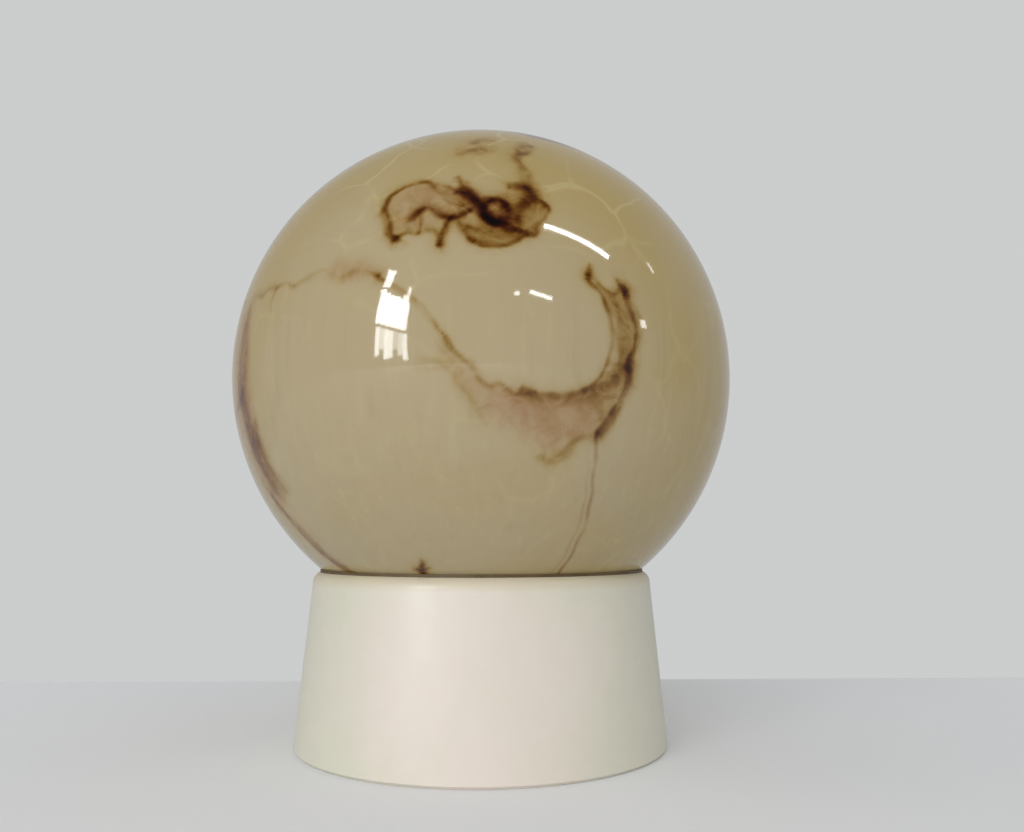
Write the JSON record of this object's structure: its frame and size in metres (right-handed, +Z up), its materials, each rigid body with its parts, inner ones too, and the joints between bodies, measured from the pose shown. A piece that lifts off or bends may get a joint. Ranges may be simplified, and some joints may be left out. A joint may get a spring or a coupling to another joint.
{
  "type": "globe lamp",
  "caption": "Marbled glass globe that screws into the rim of a tapered cream base holding a screw lampholder and bulb.",
  "frame": {"origin": "centre of the ring that the base stands on", "axes": "+Z up along the axis of the base and globe, -Y to the front"},
  "size_m": [0.15, 0.15, 0.1832],
  "materials": {
    "cream_moulding": "glossy cream moulding, faintly mottled",
    "marbled_glass": "cased glass, beige with brown veins, high gloss",
    "seal_rubber": "matt dark rubber",
    "porcelain": "glazed porcelain",
    "brass": "pressed brass",
    "plated_steel": "zinc-plated steel",
    "block_plastic": "natural polyamide",
    "brown_pvc": "brown lead insulation",
    "blue_pvc": "blue lead insulation",
    "grommet_rubber": "grey-black rubber",
    "clear_glass": "clear bulb glass",
    "cap_aluminium": "rolled aluminium cap",
    "black_glass": "black insulating glass",
    "solder": "dull solder",
    "tungsten": "drawn tungsten"
  },
  "bodies": {
    "base": {"base_housing": "cream_moulding", "lampholder_body": "porcelain", "screw_shell": "brass", "shell_tab": "brass", "centre_contact": "brass", "contact_rivet": "plated_steel", "live_terminal": "brass", "neutral_terminal": "brass", "terminal_screws": "plated_steel", "holder_screws": "plated_steel", "mains_block": "block_plastic", "block_clamps": "brass", "block_clamp_screws": "plated_steel", "block_screw": "plated_steel", "lead_live": "brown_pvc", "lead_neutral": "blue_pvc", "cable_grommet": "grommet_rubber"},
    "seal": {"globe_gasket": "seal_rubber"},
    "globe": {"glass_globe": "marbled_glass"},
    "bulb_pip": {"bulb_tip_contact": "solder"},
    "bulb": {"bulb_glass": "clear_glass", "bulb_cap": "cap_aluminium", "bulb_insulator": "black_glass", "bulb_stem": "clear_glass", "lead_in_wires": "plated_steel", "support_wires": "tungsten", "filament": "tungsten"}
  },
  "joints": [
    {"name": "globe_turn", "type": "hinge", "parent": "base", "child": "seal", "pos_m": [0, 0, 0.05], "axis": [0, 0, 1], "range_deg": [0, 6120]},
    {"name": "globe_rise", "type": "slide", "parent": "seal", "child": "globe", "axis": [0, 0, 1], "range_m": [0, 0.102]},
    {"name": "bulb_rise", "type": "slide", "parent": "base", "child": "bulb_pip", "axis": [0, 0, 1], "range_m": [0, 0.03266]},
    {"name": "bulb_turn", "type": "hinge", "parent": "bulb_pip", "child": "bulb", "pos_m": [0, 0, 0.04], "axis": [0, 0, 1], "range_deg": [0, 3240]}
  ],
  "couplings": [
    {"joint": "globe_rise", "follows": "globe_turn", "m_per_rad": 0.00095492},
    {"joint": "bulb_rise", "follows": "bulb_turn", "m_per_rad": 0.00057757}
  ]
}
